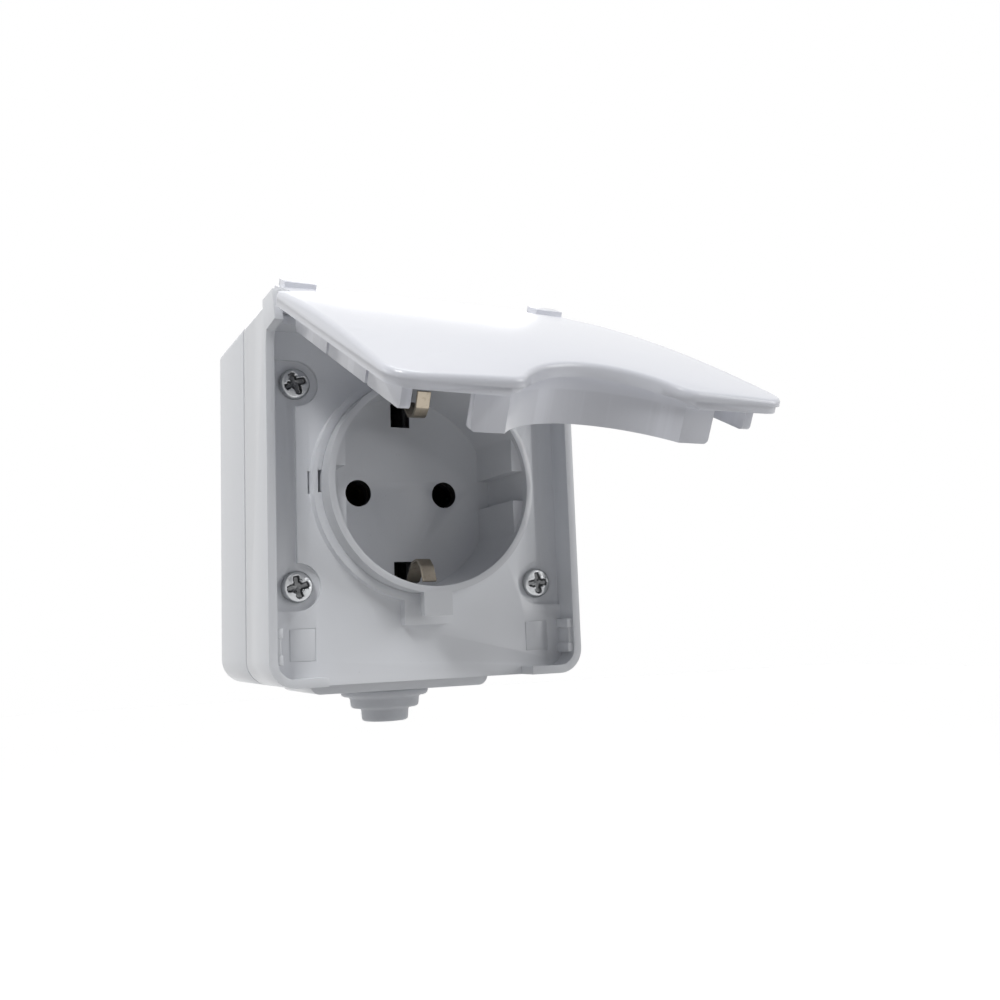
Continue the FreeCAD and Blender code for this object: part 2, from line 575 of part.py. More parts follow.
def make_insert():
    removed = [block("-strap_groove_half", "strap_groove_half", "floor_back - strap_groove", "floor_back + 1",
                     "-base_radius - 1", "base_radius + 1")]
    for side in ("-", ""):
        removed.append(rod("chamber_radius", f"{side}pin_hole_x", "0", "chamber_back", "floor_back + 1"))
        x0, x1 = ("-tongue_end - tongue_play", "-pin_hole_x") if side else ("pin_hole_x", "tongue_end + tongue_play")
        removed.append(block(x0, x1, "chamber_back", "floor_back + 1",
                             "-tongue_half_width - tongue_play", "tongue_half_width + tongue_play"))
        removed.append(rod("terminal_shank_radius + pilot_clearance", f"{side}terminal_x", "0",
                           "base_back - 1", "chamber_back + 0.5"))
        removed.append(rod("insert_shank_radius + pilot_clearance", f"{side}insert_screw_x",
                           f"-({side}insert_screw_z)", "base_back - 1", "floor_back + 1"))
    removed.append(rod("terminal_shank_radius + pilot_clearance", "0", "-terminal_drop",
                       "base_back - 1", "floor_back + 0.5"))
    return cut(rod("base_radius", "0", "0", "base_back", "floor_back"), removed, "insert_base")


def make_contact(side, label):
    x = f"{side}pin_hole_x"
    x0, x1 = ("-tongue_end", "-pin_hole_x") if side else ("pin_hole_x", "tongue_end")
    slit0, slit1 = ("0", "sleeve_outer + 1")
    whole = fuse([
        rod("sleeve_outer", x, "0", "chamber_back", "chamber_back + sleeve_length"),
        block(x0, x1, "chamber_back", "chamber_back + tongue_thickness", "-tongue_half_width", "tongue_half_width"),
    ])
    return cut(whole, [
        rod("sleeve_inner", x, "0", "chamber_back + tongue_thickness", "chamber_back + sleeve_length + 1"),
        block(f"{x} - sleeve_slot / 2", f"{x} + sleeve_slot / 2", "chamber_back + tongue_thickness + 1.5",
              "chamber_back + sleeve_length + 1", slit0, slit1),
        rod("terminal_shank_radius + pilot_clearance", f"{side}terminal_x", "0",
            "chamber_back - 1", "chamber_back + tongue_thickness + 1"),
    ], label)


def screw_profile(head, head_height, shank, length):
    """Half section of a pan-head screw: the head ends at zero, the shank runs up to its length."""
    return [
        ("0", f"-({head_height})"), (f"{head} * 0.75", f"-({head_height})"), (head, f"-({head_height}) * 0.45"),
        (head, "0"), (shank, "0"), (shank, f"{length} - {shank}"), ("0", length),
    ]


def make_cover_screw(sx, sz, label):
    """Pan head seated in its pocket, with a cross recess, and the shank running to the rear posts."""
    x = f"{sx}screw_x"
    z = f"{sz}screw_z"
    body = turned(f"{label}_turned", screw_profile("screw_head_radius", "screw_head_height",
                                                  "screw_shank_radius", "screw_length"),
                  x, "pocket_depth", z, "back_from_front")
    top = "pocket_depth + screw_head_height"
    arms = [
        block(f"{x} - cross_span / 2", f"{x} + cross_span / 2", f"{top} - cross_sink", f"{top} + 1",
              f"{z} - cross_width / 2", f"{z} + cross_width / 2"),
        block(f"{x} - cross_width / 2", f"{x} + cross_width / 2", f"{top} - cross_sink", f"{top} + 1",
              f"{z} - cross_span / 2", f"{z} + cross_span / 2"),
    ]
    return cut(body, arms, label)


def make_terminal(x, z, label):
    """Terminal screw with its head on the back of the insert."""
    body = turned(f"{label}_turned", screw_profile("terminal_head_radius", "terminal_head_height",
                                                  "terminal_shank_radius", "terminal_length"),
                  x, "base_back", z, "front_from_back")
    slot = block(f"{x} - terminal_head_radius", f"{x} + terminal_head_radius",
                 "base_back - terminal_head_height - 1", "base_back - terminal_head_height + terminal_slot_sink",
                 f"{z} - terminal_slot / 2", f"{z} + terminal_slot / 2")
    return cut(body, [slot], label)


def make_insert_screw(side, label):
    """Screw that holds the rear moulding to the back of the well."""
    x = f"{side}insert_screw_x"
    z = f"-({side}insert_screw_z)"
    body = turned(f"{label}_turned", screw_profile("insert_head_radius", "insert_head_height",
                                                  "insert_shank_radius", "insert_length"),
                  x, "base_back", z, "front_from_back")
    slot = block(f"{x} - insert_head_radius", f"{x} + insert_head_radius",
                 "base_back - insert_head_height - 1", "base_back - insert_head_height + terminal_slot_sink",
                 f"{z} - terminal_slot / 2", f"{z} + terminal_slot / 2")
    return cut(body, [slot], label)


# Lid, built closed about its own hinge axis: X across, -Y outward, -Z along it from the axis

CROWN = (
    ("-lid_back - lid_lift", "crown_edge_hinge", "crown_hinge"),
    ("lid_far * 0.18", "crown_edge_upper", "crown_upper"),
    ("lid_far * 0.5", "crown_edge_middle", "crown_middle"),
    ("lid_far * 0.77", "crown_edge_lower", "crown_lower"),
    ("lid_far + lid_lift", "crown_edge_far", "crown_far"),
)


def lid_spot(x, along, out):
    """Point of the lid: across, along from the axis and outward from the closing plane."""
    return Vector(x, -out - size("lid_lift"), -along)


def crown_solid(lowered):
    """Everything under the domed outer surface, moved inward by one distance."""
    half = size("lid_half_width")
    reach = 1.2 * half
    deep = -0.4 * half
    sections = []
    for place_along, edge, centre in CROWN:
        along = size(place_along)
        middle = size(centre)
        low = middle - (middle - size(edge)) * (reach / half) ** 2 - lowered
        corners = [lid_spot(reach, along, low), lid_spot(-reach, along, low),
                   lid_spot(-reach, along, deep), lid_spot(reach, along, deep)]
        sections.append(Part.Wire([
            Part.Arc(corners[0], lid_spot(0, along, middle - lowered), corners[1]).toShape(),
            Part.LineSegment(corners[1], corners[2]).toShape(), Part.LineSegment(corners[2], corners[3]).toShape(),
            Part.LineSegment(corners[3], corners[0]).toShape(),
        ]))
    return Part.makeLoft(sections, True, False)


def lid_prism(points, radii, low, high):
    """Upright prism of the lid from (across, along) corners, each with its own radius."""
    wire = rounded_wire([lid_spot(x, along, low) for x, along in points], radii)
    return Part.Face(wire).extrude(Vector(0, low - high, 0))


def lid_box(x0, x1, along0, along1, low, high):
    return lid_prism([(x0, along0), (x1, along0), (x1, along1), (x0, along1)], [0] * 4, low, high)


def lid_rod(radius, x, along, low, high):
    return Part.makeCylinder(radius, high - low, lid_spot(x, along, low), Vector(0, -1, 0))


def lid_plan(tall):
    """Prism of the lid's outline: narrower at the hinge, rounded far corners, the bay cut out."""
    half = size("lid_half_width")
    hinge_half = size("lid_hinge_half")
    far = size("lid_far")
    shoulder = size("lid_shoulder")
    corner = size("lid_corner")
    turn = size("shoulder_radius")
    plan = lid_prism(
        [(-hinge_half, -size("lid_back")), (hinge_half, -size("lid_back")), (hinge_half, shoulder),
         (half, shoulder), (half, far), (-half, far), (-half, shoulder), (-hinge_half, shoulder)],
        [0, 0, 0, turn, corner, corner, turn, 0], 0, tall)
    rim_radius = size("bay_radius - bay_overhang")
    plan = plan.cut(lid_rod(rim_radius, 0, size("bay_centre"), -1, tall + 1))
    chord = math.sqrt(rim_radius ** 2 - size("bay_offset") ** 2)
    ends = [edge for edge in plan.Edges
            if edge.BoundBox.YLength > tall / 2 and abs(edge.BoundBox.Center.z + far) < 0.01
            and abs(abs(edge.BoundBox.Center.x) - chord) < 0.01]
    return plan.makeFillet(size("bay_corner"), ends)


def make_skirt(side, tall):
    """Wall hanging inside one side of the lid, sloped at its start, with two slits."""
    edges = sorted((side * size("skirt_outer"), side * size("skirt_outer - skirt_thickness")))
    start = size("skirt_start")
    deep = -size("skirt_depth")
    slope = size("skirt_chamfer")
    end = size("skirt_end")
    profile = [(start, tall), (start, deep + slope), (start + slope, deep), (end, deep), (end, tall)]
    corners = [lid_spot(edges[0], along, out) for along, out in profile]
    face = Part.Face(rounded_wire(corners, [0, 0, 0, size("skirt_corner"), 0]))
    skirt = face.extrude(Vector(edges[1] - edges[0], 0, 0))
    half_slit = size("skirt_slit") / 2
    for slit in (size("skirt_slit_a"), size("skirt_slit_b")):
        skirt = skirt.cut(lid_box(edges[0] - 1, edges[1] + 1, slit - half_slit, slit + half_slit, deep - 1, half_slit))
    return skirt


def make_catch(side, tall):
    """Flat tab beside the bay, its lower outer corner rounded."""
    deep = -size("bay_depth")
    inner = side * size("bay_chord")
    outer = side * size("catch_outer")
    back = size("catch_back")
    corners = [lid_spot(inner, back, tall), lid_spot(inner, back, deep), lid_spot(outer, back, deep),
               lid_spot(outer, back, tall)]
    face = Part.Face(rounded_wire(corners, [0, 0, size("catch_corner"), 0]))
    return face.extrude(Vector(0, 0, -size("catch_depth")))


def make_lid():
    """Domed lid with skirts, hinge knuckles, arc cut-out and the deep wall round it."""
    half = size("lid_half_width")
    tall = 0.28 * half
    wall = size("lid_wall")
    far = size("lid_far")
    shoulder = size("lid_shoulder")
    bay = size("bay_centre")
    bay_radius = size("bay_radius")
    bay_back = size("bay_radius + bay_wall")
    deep = -size("bay_depth")
    under = crown_solid(wall)

    body = lid_plan(tall).common(crown_solid(0))
    top_only = -size("lid_lift + crown_edge_far") / 1.5
    rim = [edge for edge in body.Edges
           if edge.BoundBox.YMax < top_only and edge.BoundBox.ZMax < 0.05 - shoulder]
    body = body.makeFillet(size("lid_edge_radius"), rim)

    inner = size("rim_edge_in")
    inner_corner = size("lid_corner - lid_wall")
    hollow = lid_prism(
        [(-inner, shoulder + wall), (inner, shoulder + wall), (inner, far - wall), (-inner, far - wall)],
        [wall, wall, inner_corner, inner_corner], -1, tall).common(under)
    hollow = hollow.cut(lid_rod(bay_back, 0, bay, -2, tall + 1))
    solid = body.cut(hollow)

    front = size("bay_front")
    bay_cut = lid_rod(bay_radius, 0, bay, deep - 1, tall + 1)
    bay_wall = lid_rod(bay_back, 0, bay, deep, tall).cut(bay_cut)
    pieces = [bay_wall.common(lid_box(-bay_back, bay_back, bay - bay_back - 1, front, deep, tall))]
    for side in (-1, 1):
        pieces.append(make_catch(side, tall).cut(bay_cut))
        pieces.append(make_skirt(side, tall))
    middle = size("axis_z")
    seat = size("seal_seat")
    ring_out = size("seal_outer + seal_play")
    ring_in = size("seal_inner - seal_play")
    pieces.append(lid_rod(ring_out, 0, middle, seat, tall).cut(lid_rod(ring_in, 0, middle, 0, tall + 1)))
    inside = crown_solid(wall / 4)
    for piece in pieces:
        solid = solid.fuse(piece.common(inside))
    solid = solid.cut(lid_rod(ring_out, 0, middle, -1, seat).cut(lid_rod(ring_in, 0, middle, -2, tall)))

    rise = size("bay_rise")
    half_chord = size("bay_chord + bay_overhang")
    sweep = (half_chord ** 2 + rise ** 2) / (2 * rise)
    arch = Part.makeCylinder(sweep, bay_back, lid_spot(0, bay - bay_back, rise - sweep), Vector(0, 0, -1))
    solid = solid.cut(arch.common(lid_rod(bay_radius, 0, bay, deep - 1, rise + 1)))

    for side in (-1, 1):
        x0, x1 = sorted((side * size("knuckle_inner"), side * size("knuckle_outer")))
        solid = solid.fuse(Part.makeCylinder(size("knuckle_radius"), x1 - x0, Vector(x0, 0, 0), Vector(1, 0, 0)))
        x0, x1 = sorted((side * size("knuckle_inner"), side * size("tab_pad_outer")))
        solid = solid.fuse(lid_box(x0, x1, -size("lid_back + tab_pad_back"), size("tab_pad_front"),
                                   size("tab_pad_low"), size("tab_pad_high")))
        x0, x1 = sorted((side * size("bore_end"), side * (size("knuckle_outer") + 1)))
        solid = solid.cut(Part.makeCylinder(size("knuckle_bore"), x1 - x0, Vector(x0, 0, 0), Vector(1, 0, 0)))
    return solid.removeSplitter()


def hang(label, shape):
    """Document object for a shape of the lid, turned open about the hinge axis."""
    item = doc.addObject("Part::Feature", label)
    item.Label = label
    item.Shape = shape
    item.Placement = Placement(Vector(), Rotation(Vector(-1, 0, 0), 1))
    bind(item, "Placement.Base.y", "-axis_depth")
    bind(item, "Placement.Base.z", "axis_z")
    bind(item, "Placement.Rotation.Angle", "lid_open_angle")
    return item


def make_seal():
    """Soft ring in the lid, round the collar's circle."""
    middle = size("axis_z")
    ring = lid_rod(size("seal_outer"), 0, middle, size("seal_tip"), size("seal_seat"))
    return ring.cut(lid_rod(size("seal_inner"), 0, middle, 0, 9))


# The whole assembly

NODES = [
    make_cover(), make_cup(), make_box(), make_gasket(), make_grommet(), make_strap(), make_insert(),
    make_contact("-", "contact_left"), make_contact("", "contact_right"),
    make_terminal("-terminal_x", "0", "terminal_screw_left"), make_terminal("terminal_x", "0", "terminal_screw_right"),
    make_terminal("0", "-terminal_drop", "terminal_screw_earth"),
    make_insert_screw("-", "insert_screw_upper"), make_insert_screw("", "insert_screw_lower"),
    make_pin("-", "hinge_pin_left"), make_pin("", "hinge_pin_right"),
    hang("lid", make_lid()), hang("lid_seal", make_seal()),
]
for name, sx, sz in (("upper_left", "-", ""), ("upper_right", "", ""), ("lower_left", "-", "-"), ("lower_right", "", "-")):
    NODES.append(make_cover_screw(sx, sz, f"cover_screw_{name}"))

doc.recompute()
for item in doc.Objects:
    if "Invalid" in item.State or "Error" in item.State:
        raise RuntimeError(f"{item.Label} did not build")
for item in NODES:
    if item.Shape.isNull() or not item.Shape.isValid():
        raise RuntimeError(f"{item.Label} is not a valid solid")
    print(item.Label, len(item.Shape.Solids), len(item.Shape.Faces), item.Shape.BoundBox)
    item.Shape.exportStep(f"parts/{item.Label}.step")
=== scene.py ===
"""Looks of the outdoor weatherproof socket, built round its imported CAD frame."""

import math

import bmesh
import bpy
from bpy.props import FloatProperty, FloatVectorProperty, PointerProperty
from mathutils import Matrix, Vector, noise
from mathutils.kdtree import KDTree


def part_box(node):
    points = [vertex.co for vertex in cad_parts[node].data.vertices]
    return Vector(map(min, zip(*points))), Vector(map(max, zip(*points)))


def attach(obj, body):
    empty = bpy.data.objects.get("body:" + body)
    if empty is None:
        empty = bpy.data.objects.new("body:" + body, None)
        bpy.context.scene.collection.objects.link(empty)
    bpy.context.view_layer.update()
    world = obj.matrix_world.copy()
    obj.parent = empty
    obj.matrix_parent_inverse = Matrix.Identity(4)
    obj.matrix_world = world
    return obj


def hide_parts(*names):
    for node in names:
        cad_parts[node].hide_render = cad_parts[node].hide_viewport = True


bl_info = {
    "name": "Weatherproof socket looks",
    "version": (1, 0, 0),
    "blender": (4, 5, 0),
    "location": "3D View > Sidebar > Socket",
    "description": "Dresses the socket's pieces and sets its studio",
    "category": "Object",
}

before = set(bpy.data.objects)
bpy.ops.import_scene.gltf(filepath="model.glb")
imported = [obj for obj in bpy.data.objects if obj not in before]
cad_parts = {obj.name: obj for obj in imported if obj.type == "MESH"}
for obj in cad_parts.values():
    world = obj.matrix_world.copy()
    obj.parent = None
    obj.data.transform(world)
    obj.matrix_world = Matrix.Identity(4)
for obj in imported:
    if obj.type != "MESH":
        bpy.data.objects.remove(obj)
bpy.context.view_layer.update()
MM = 0.001
BLACK = (0.0, 0.0, 0.0)
WHITE = (1.0, 1.0, 1.0)

# The nodes that rounded copies stand for, with their body and material slot
HOLDERS = {"front_cover": ("housing", "shell"), "back_box": ("housing", "shell"), "lid": ("lid", "lid"),
           "socket_cup": ("housing", "well"), "earth_strap": ("housing", "earth_metal")}

# How far each cover screw's cross is turned, in degrees
SCREW_TURNS = {"cover_screw_upper_left": 24.0, "cover_screw_upper_right": 65.0,
               "cover_screw_lower_left": 12.0, "cover_screw_lower_right": 4.0}

# Attribute that says how deep a point of a screw's cross lies, from 0 to 1, by which the screw material
# paints shade into the cross
CROSS_SHADE = "cross_shade"
CROSS_DEPTH = 1.15 * MM

# Depths between which painted shade darkens the strip and the contacts, from the front towards the wall or
# back
STRIP_PAINTED_SHADE = (-36.4 * MM, -29.0 * MM)
CONTACT_PAINTED_SHADE = (-11.6 * MM, -12.4 * MM)

# Openings in the well's floor, each pair where the painted shade of a hole, slot or the floor's faces fades
PIN_X = 9.5 * MM
PIN_EDGE = (2.85 * MM, 3.0 * MM)
SLOT_SIDE = (2.2 * MM, 2.35 * MM)
SLOT_END = (13.8 * MM, 13.95 * MM)
FLOOR_FRONT = (-26.42 * MM, -26.25 * MM)
FLOOR_BACK = (-24.05 * MM, -23.95 * MM)

# The open lid: directions out of its face and away from the hinge, and the foot of its edge at the hinge
LID_OUT = Vector((0.0, -0.43837, 0.89879))
LID_ALONG = Vector((0.0, -0.89879, -0.43837))
LID_LIFT = 0.56 * MM
LID_BASE = Vector((0.0, -42.7 * MM, 33.6 * MM)) + LID_OUT * LID_LIFT

# The step along the foot of the lid's edge: its height, slope and width, and where on the lid it runs
STEP_HEIGHT = 1.15 * MM
STEP_SLOPE = 0.05 * MM
STEP_WIDTH = 0.45 * MM
STEP_START = 9.6 * MM
STEP_FADE = 3.0 * MM
STEP_REACH = 0.3 * MM
LID_SIDE = 31.3 * MM
LID_FAR = 71.3 * MM
BAY_HALF = 14.6 * MM
BAY_NEAR = 68.5 * MM

# The catch rail in mm: its blocks as reach from the wall, front depth, top and bottom
WALL_THICKNESS = 1.6
RAIL_BLOCKS = ((1.15, 41.9, -27.0, -28.8), (0.85, 41.7, -28.4, -32.4), (1.15, 41.9, -31.9, -33.7))
RAIL_BACK = 37.0
RAIL_ROOT = 0.4

# The gland in mm: outside and flange with heights from its lowest point, then its inside
GLAND_STEPS = ((0.0, 0.0), (4.9, 0.0), (5.1, 2.8), (7.2, 2.8), (7.45, 5.2), (9.2, 5.3), (9.45, 6.8),
               (7.0, 6.8))
GLAND_INSIDE = ((5.8, 6.8), (4.0, 2.2), (3.9, 1.2), (0.0, 1.2))
GLAND_NECK = 7.0 * MM
GLAND_FLANGE = 8.6 * MM
GLAND_FLANGE_HEIGHT = 1.4 * MM
GLAND_BORE = 5.8 * MM

# The photograph's camera: where it stands and its right, up and forward directions
CAMERA_SPOT = (-0.0792, -0.2323, -0.0282)
CAMERA_RIGHT = (0.8973, -0.4397, -0.0369)
CAMERA_UP = (-0.0193, -0.1227, 0.9922)
CAMERA_AHEAD = (0.4409, 0.8897, 0.1186)
SENSOR_WIDTH = 36.0
FLOOR_HALF = 3.0

# Each lamp's place and size in metres; its power is the studio's value of the same name
LAMP_TARGET = (0.0, -0.03, 0.0)
LAMPS = {"key": ((-0.406, -0.381, 0.530), 0.21), "top": ((0.0, -0.02, 0.60), 0.40),
         "side": ((-0.60, 0.18, 0.12), 0.40), "fill": ((0.60, -0.50, 0.20), 0.45),
         "back": ((0.25, 0.80, 0.30), 0.45)}


def colour_property(name, description, default):
    return FloatVectorProperty(name=name, description=description, default=default, size=3,
                               min=0.0, max=1.0, subtype="COLOR")


def share_property(name, description, default):
    return FloatProperty(name=name, description=description, default=default, min=0.0, max=1.0,
                         subtype="FACTOR")


def power_property(name, description, default):
    return FloatProperty(name=name, description=description, default=default, min=0.0, unit="POWER")


def length_property(name, description, default):
    return FloatProperty(name=name, description=description, default=default, min=0.0, unit="LENGTH")


class SocketPlastics(bpy.types.PropertyGroup):
    """Colours and finish of the mouldings."""
    housing: colour_property("Housing", "Colour of the box and its cover", (0.71, 0.725, 0.755))
    lid: colour_property("Lid", "Colour of the hinged lid", (0.735, 0.75, 0.81))
    well: colour_property("Well", "Colour of the round well", (0.60, 0.613, 0.64))
    insert: colour_property("Insert", "Colour of the rear moulding", (0.055, 0.057, 0.062))
    rubber: colour_property("Seal", "Colour of the soft seals", (0.24, 0.245, 0.255))
    gland: colour_property("Gland", "Colour of the cable gland", (0.55, 0.565, 0.60))
    roughness: share_property("Roughness", "Roughness of the glossy mouldings", 0.34)
    edge: length_property("Edge radius", "Radius on the edges of the mouldings", 0.22 * MM)


class SocketMetals(bpy.types.PropertyGroup):
    """Colours and finish of the metal pieces."""
    screw: colour_property("Screws", "Colour of the zinc-plated steel", (0.50, 0.51, 0.52))
    clip: colour_property("Earth strip", "Colour of the plated brass strip", (0.40, 0.35, 0.28))
    contact: colour_property("Contacts", "Colour of the bare brass", (0.52, 0.39, 0.19))
    roughness: share_property("Roughness", "Roughness of the metal", 0.28)


class SocketStudio(bpy.types.PropertyGroup):
    """Camera, lamps and floor."""
    lens: FloatProperty(name="Lens", description="Focal length of the camera in mm", default=38.21, min=1.0)
    key: power_property("Key lamp", "Power of the small lamp, upper left", 2.85)
    top: power_property("Top lamp", "Power of the lamp above", 1.2)
    side: power_property("Side lamp", "Power of the lamp on the left", 0.8)
    fill: power_property("Fill lamp", "Power of the lamp on the right", 2.0)
    back: power_property("Back lamp", "Power of the lamp behind", 1.6)
    ambient: share_property("Ambient", "Strength of the light from all round", 0.1)
    glow: share_property("Floor glow", "White that the floor shows the camera by itself", 0.82)
    drop: length_property("Floor drop", "Height of the floor below the socket", 0.22)


# Shader trees written as expressions

class Wire:
    """A shader socket that takes part in Python arithmetic."""

    def __init__(self, paint, socket):
        self.paint = paint
        self.socket = socket

    def __add__(self, other):
        return self.paint.maths("ADD", self, other)

    def __radd__(self, other):
        return self.paint.maths("ADD", other, self)

    def __sub__(self, other):
        return self.paint.maths("SUBTRACT", self, other)

    def __rsub__(self, other):
        return self.paint.maths("SUBTRACT", other, self)

    def __mul__(self, other):
        return self.paint.maths("MULTIPLY", self, other)

    def __rmul__(self, other):
        return self.paint.maths("MULTIPLY", other, self)

    def __pow__(self, other):
        return self.paint.maths("POWER", self, other)

    def __abs__(self):
        return self.paint.maths("ABSOLUTE", self)


class Paint:
    """The nodes of a material or a world, all added by one method."""

    def __init__(self, owner):
        owner.use_nodes = True
        self.owner = owner
        self.tree = owner.node_tree
        self.tree.nodes.clear()

    def add(self, kind, options, inputs, output=0):
        """Adds a node, sets its options, feeds its sockets and gives one of its outputs."""
        node = self.tree.nodes.new(kind)
        for name, value in options.items():
            setattr(node, name, value)
        for key, value in inputs.items():
            if isinstance(value, Wire):
                self.tree.links.new(value.socket, node.inputs[key])
            else:
                node.inputs[key].default_value = value
        return Wire(self, node.outputs[output]) if node.outputs else None

    def maths(self, operation, *values):
        return self.add("ShaderNodeMath", {"operation": operation}, dict(enumerate(values)))

    def place(self):
        """Object coordinates."""
        return self.add("ShaderNodeTexCoord", {}, {}, "Object")

    def part(self, axis):
        """One of the object coordinates: X to the right, Y towards the wall, Z up."""
        return self.add("ShaderNodeSeparateXYZ", {}, {"Vector": self.place()}, axis)

    def along(self, way):
        """How far a point lies along a direction."""
        return self.add("ShaderNodeVectorMath", {"operation": "DOT_PRODUCT"},
                        {0: self.place(), 1: way}, "Value")

    def stretched(self, factors):
        """Object coordinates scaled differently along each axis."""
        return self.add("ShaderNodeMapping", {}, {"Vector": self.place(), "Scale": factors})

    def noise(self, scale, detail=2.0, roughness=0.5, place=None):
        return self.add("ShaderNodeTexNoise", {}, {"Vector": place or self.place(), "Scale": scale,
                                                   "Detail": detail, "Roughness": roughness}, "Fac")

    def mix(self, factor, first, second):
        return self.add("ShaderNodeMix", {"data_type": "RGBA"},
                        {0: factor, 6: with_alpha(first), 7: with_alpha(second)}, 2)

    def band(self, value, low, high):
        """0 at low and 1 at high, with a smooth step between."""
        return self.add("ShaderNodeMapRange", {"interpolation_type": "SMOOTHSTEP"},
                        {0: value, 1: low, 2: high, 3: 0.0, 4: 1.0})

    def bump(self, height, strength):
        return self.add("ShaderNodeBump", {}, {"Height": height, "Strength": strength, "Distance": 0.1 * MM})

    def ray(self, kind):
        return self.add("ShaderNodeLightPath", {}, {}, kind)

    def surface(self, **sockets):
        """Ends the material in one shader, whose sockets are named with underscores for spaces."""
        named = {key.replace("_", " "): value for key, value in sockets.items()}
        shader = self.add("ShaderNodeBsdfPrincipled", {}, named)
        self.add("ShaderNodeOutputMaterial", {}, {"Surface": shader})
        return self.owner


def fresh_paint(name):
    """Paint of a new material."""
    return Paint(bpy.data.materials.new(name))


def with_alpha(colour):
    """What a colour socket takes, from a link or three channels."""
    if isinstance(colour, Wire):
        return colour
    return (colour[0], colour[1], colour[2], 1.0)


def shade(colour, factor):
    return tuple(channel * factor for channel in colour)


def painted_bore_shade(paint):
    """Painted shade: 1 on the walls of the well's pin holes and earth slots, where no light reaches."""
    aside = abs(paint.part("X"))
    height = abs(paint.part("Z"))
    depth = paint.part("Y")
    from_pin = ((aside - PIN_X) ** 2.0 + height * height) ** 0.5
    pins = 1.0 - paint.band(from_pin, *PIN_EDGE)
    slots = (1.0 - paint.band(aside, *SLOT_SIDE)) * paint.band(height, *SLOT_END)
    within_floor = paint.band(depth, *FLOOR_FRONT) * (1.0 - paint.band(depth, *FLOOR_BACK))
    return within_floor * paint.maths("MAXIMUM", pins, slots)


def wall_streaks(paint):
    """1 between the pale streaks that run down the lid's deep wall, 0 in them and above the wall."""
    plan = paint.add("ShaderNodeCombineXYZ", {}, {0: paint.part("X"), 1: paint.along(LID_ALONG)})
    streaks = paint.band(paint.noise(210.0, 3.0, 0.6, plan), 0.52, 0.66)
    foot = LID_BASE.dot(LID_OUT)
    above = paint.band(paint.along(LID_OUT), foot - 0.6 * MM, foot - 0.1 * MM)
    return (1.0 - above) * (1.0 - streaks)


def moulded_plastic(name, colour, roughness, coat=0.25, shaded_bores=False, streaked=False):
    """Satin injection-moulded plastic: fine grain, faint flow marks, a little mottling."""
    paint = fresh_paint(name)
    cloud = paint.noise(38.0, 3.0)
    flow = paint.noise(90.0, 4.0, 0.6, paint.stretched((1.0, 1.0, 0.25)))
    grain = paint.noise(5200.0, 2.0, 0.6)
    specks = paint.band(paint.noise(1500.0, 1.0), 0.73, 0.80)
    tone = paint.mix(cloud, shade(colour, 0.985), shade(colour, 1.012))
    tone = paint.mix(specks * 0.22, tone, shade(colour, 0.72))
    if shaded_bores:
        # painted shade on the walls of the pin holes and earth slots
        tone = paint.mix(painted_bore_shade(paint), tone, shade(colour, 0.04))
    if streaked:
        tone = paint.mix(wall_streaks(paint) * 0.6, tone, shade(colour, 0.84))
    return paint.surface(
        Base_Color=tone, Roughness=roughness - 0.04 + 0.07 * flow + 0.04 * grain, Coat_Weight=coat,
        Coat_Roughness=0.18, IOR=1.5, Normal=paint.bump(grain + flow * 2.0, 0.05))


def soft_rubber(name, colour, roughness):
    """Matt rubber with a dusty bloom."""
    paint = fresh_paint(name)
    bloom = paint.noise(160.0, 4.0, 0.6)
    grain = paint.noise(3800.0, 2.0)
    tone = paint.mix(bloom, shade(colour, 0.92), shade(colour, 1.08))
    return paint.surface(Base_Color=tone, Roughness=roughness - 0.05 + 0.12 * bloom,
                         Normal=paint.bump(grain, 0.12))


def drawn_metal(name, colour, roughness, direction, painted_shade_depths=None, worn_and_shaded_cross=False):
    """Plated metal with fine lines from its drawing, duller patches, painted shade over unlit depths and
    painted shade in a screw's cross.
    """
    paint = fresh_paint(name)
    lines = paint.noise(900.0, 2.0, 0.6, paint.stretched(direction))
    patches = paint.noise(420.0, 3.0)
    stains = paint.band(paint.noise(950.0, 4.0, 0.65), 0.52, 0.66)
    tone = paint.mix(patches, shade(colour, 0.80), shade(colour, 1.08))
    tone = paint.mix(stains * 0.35, tone, shade(colour, 0.55))
    if painted_shade_depths:
        # painted shade over the depths that no light reaches
        tone = paint.mix(paint.band(paint.part("Y"), *painted_shade_depths), tone, shade(colour, 0.03))
    if worn_and_shaded_cross:
        # painted shade in the recess of the screw's cross
        sunk = paint.add("ShaderNodeAttribute", {"attribute_name": CROSS_SHADE}, {}, "Fac")
        tone = paint.mix(sunk * 0.8, tone, shade(colour, 0.12))
    dents = paint.noise(1300.0, 3.0, 0.6) * (5.0 if worn_and_shaded_cross else 1.0)
    return paint.surface(
        Base_Color=tone, Metallic=1.0,
        Roughness=roughness - 0.08 + 0.14 * patches + 0.08 * lines + 0.10 * stains,
        Normal=paint.bump(lines + dents, 0.12))


# Pieces

def round_edges(shape, width, segments=2, angle=32.0):
    """Rounds a closed shape's sharp edges."""
    sharp = [edge for edge in shape.edges if edge.calc_face_angle(0.0) > math.radians(angle)]
    bmesh.ops.bevel(shape, geom=sharp, offset=width, offset_type="OFFSET", affect="EDGES",
                    segments=segments, profile=0.5, material=-1, clamp_overlap=True)


def finished(shape, name, material, body, node=None, smooth_to=30.0):
    """Makes a bmesh a piece on a body, standing for a CAD node where one is named."""
    mesh = bpy.data.meshes.new(name)
    shape.to_mesh(mesh)
    shape.free()
    for polygon in mesh.polygons:
        polygon.use_smooth = True
    mesh.set_sharp_from_angle(angle=math.radians(smooth_to))
    mesh.materials.append(material)
    piece = bpy.data.objects.new(name, mesh)
    bpy.context.scene.collection.objects.link(piece)
    if node:
        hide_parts(node)
    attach(piece, body)


